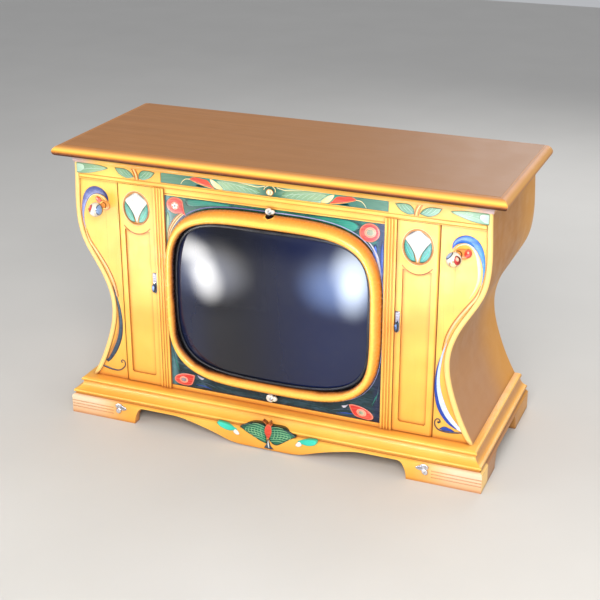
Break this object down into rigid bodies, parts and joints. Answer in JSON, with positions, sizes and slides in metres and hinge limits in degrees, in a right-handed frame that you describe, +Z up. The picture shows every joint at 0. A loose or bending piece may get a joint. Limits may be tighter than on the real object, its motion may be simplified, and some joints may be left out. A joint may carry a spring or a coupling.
{
  "type": "tube television",
  "caption": "Low console tube television in a painted wooden cabinet with serpentine sides, doors beside the screen and a stepped plinth.",
  "frame": {"origin": "middle of the footprint, on the floor", "axes": "+X to the viewer's right, -Y to the front, +Z up"},
  "size_m": [1.08, 0.454, 0.684],
  "materials": {
    "top_wood": "satin varnish on warm brown wood",
    "side_wood": "satin varnish on tan wood",
    "front_wood": "honey-yellow glossy lacquer",
    "frieze_wood": "lacquered and painted with leaves",
    "ring_wood": "gold lacquer",
    "enamel_green": "dark green enamel paint",
    "inner_wood": "plain unfinished wood",
    "hardboard": "pressed brown hardboard",
    "screen_glass": "polished dark glass",
    "valve_glass": "clear glass",
    "mask": "dark pressed mask",
    "porcelain": "glazed white porcelain",
    "painted_porcelain": "hand-painted glazed porcelain on a wooden stem",
    "nickel": "polished nickel",
    "brass": "turned brass",
    "steel": "zinc-plated steel",
    "control_metal": "plain aluminium",
    "transformer": "black-lacquered iron laminations",
    "yoke": "varnished windings and ferrite",
    "rubber": "black rubber",
    "bakelite": "dark brown moulded resin",
    "grille_cloth": "woven cloth"
  },
  "bodies": {
    "cabinet": {"top_slab": "top_wood", "top_cove_moulding": "front_wood", "side_panel_left": "side_wood", "side_panel_right": "side_wood", "bottom_board": "inner_wood", "frieze_board": "frieze_wood", "upper_rail": "front_wood", "lower_rail": "front_wood", "wing_panel_left": "front_wood", "wing_panel_right": "front_wood", "pilaster_left": "front_wood", "pilaster_right": "front_wood", "spandrel_panel": "enamel_green", "plinth_moulding": "front_wood", "plinth_front_board": "front_wood", "plinth_side_board_left": "side_wood", "plinth_side_board_right": "side_wood", "plinth_back_board": "inner_wood", "foot_clips": "nickel", "door_pivots": "brass", "bezel_ring": "ring_wood", "tube_mask": "mask", "picture_tube": "screen_glass", "tube_strap": "steel", "inner_battens": "inner_wood", "deflection_yoke": "yoke", "tube_socket": "bakelite", "anode_lead": "rubber", "turn_button_screws": "brass", "knob_bushings": "brass", "potentiometers": "control_metal", "tuner_unit": "control_metal", "control_box": "inner_wood", "speaker_box": "inner_wood", "speaker_cloth": "grille_cloth", "loudspeaker": "yoke", "chassis_pan": "steel", "valves": "valve_glass", "power_transformer": "transformer", "filter_capacitors": "control_metal", "flyback_cage": "steel", "back_cover": "hardboard", "back_screws": "steel", "mains_inlet": "bakelite", "antenna_terminals": "bakelite"},
    "left_door": {"door_left": "front_wood", "latch_plate_left": "nickel"},
    "left_latch": {"latch_turn_left": "nickel"},
    "right_door": {"door_right": "front_wood", "latch_plate_right": "nickel"},
    "right_latch": {"latch_turn_right": "nickel"},
    "volume_control": {"volume_knob": "painted_porcelain", "volume_shaft": "steel"},
    "tuning_control": {"tuner_knob": "painted_porcelain", "tuner_shaft": "steel"},
    "top_button": {"turn_button_top": "porcelain"},
    "bottom_button": {"turn_button_bottom": "porcelain"},
    "upper_service": {"service_knob_upper": "bakelite"},
    "middle_service": {"service_knob_middle": "bakelite"},
    "lower_service": {"service_knob_lower": "bakelite"}
  },
  "joints": [
    {"name": "left_door_hinge", "type": "hinge", "parent": "cabinet", "child": "left_door", "pos_m": [-0.386, -0.1695, 0.346], "axis": [0, 0, -1], "range_deg": [0, 95]},
    {"name": "left_latch_turn", "type": "hinge", "parent": "left_door", "child": "left_latch", "pos_m": [-0.302, -0.181, 0.352], "axis": [0, 1, 0], "range_deg": [0, 90]},
    {"name": "right_door_hinge", "type": "hinge", "parent": "cabinet", "child": "right_door", "pos_m": [0.386, -0.1695, 0.346], "axis": [0, 0, 1], "range_deg": [0, 95]},
    {"name": "right_latch_turn", "type": "hinge", "parent": "right_door", "child": "right_latch", "pos_m": [0.302, -0.181, 0.352], "axis": [0, -1, 0], "range_deg": [0, 90]},
    {"name": "volume_turn", "type": "hinge", "parent": "cabinet", "child": "volume_control", "pos_m": [-0.432, -0.208, 0.54], "axis": [0, 1, 0], "range_deg": [0, 300]},
    {"name": "tuning_turn", "type": "hinge", "parent": "cabinet", "child": "tuning_control", "pos_m": [0.432, -0.208, 0.54], "axis": [0, 1, 0], "continuous": true},
    {"name": "top_button_turn", "type": "hinge", "parent": "cabinet", "child": "top_button", "pos_m": [0, -0.182, 0.582], "axis": [0, 1, 0], "range_deg": [0, 90]},
    {"name": "bottom_button_turn", "type": "hinge", "parent": "cabinet", "child": "bottom_button", "pos_m": [0, -0.182, 0.117], "axis": [0, 1, 0], "range_deg": [0, 90]},
    {"name": "upper_service_turn", "type": "hinge", "parent": "cabinet", "child": "upper_service", "pos_m": [-0.344, -0.125, 0.47], "axis": [0, 1, 0], "range_deg": [-135, 135]},
    {"name": "middle_service_turn", "type": "hinge", "parent": "cabinet", "child": "middle_service", "pos_m": [-0.344, -0.125, 0.4], "axis": [0, 1, 0], "range_deg": [-135, 135]},
    {"name": "lower_service_turn", "type": "hinge", "parent": "cabinet", "child": "lower_service", "pos_m": [-0.344, -0.125, 0.33], "axis": [0, 1, 0], "range_deg": [-135, 135]}
  ]
}
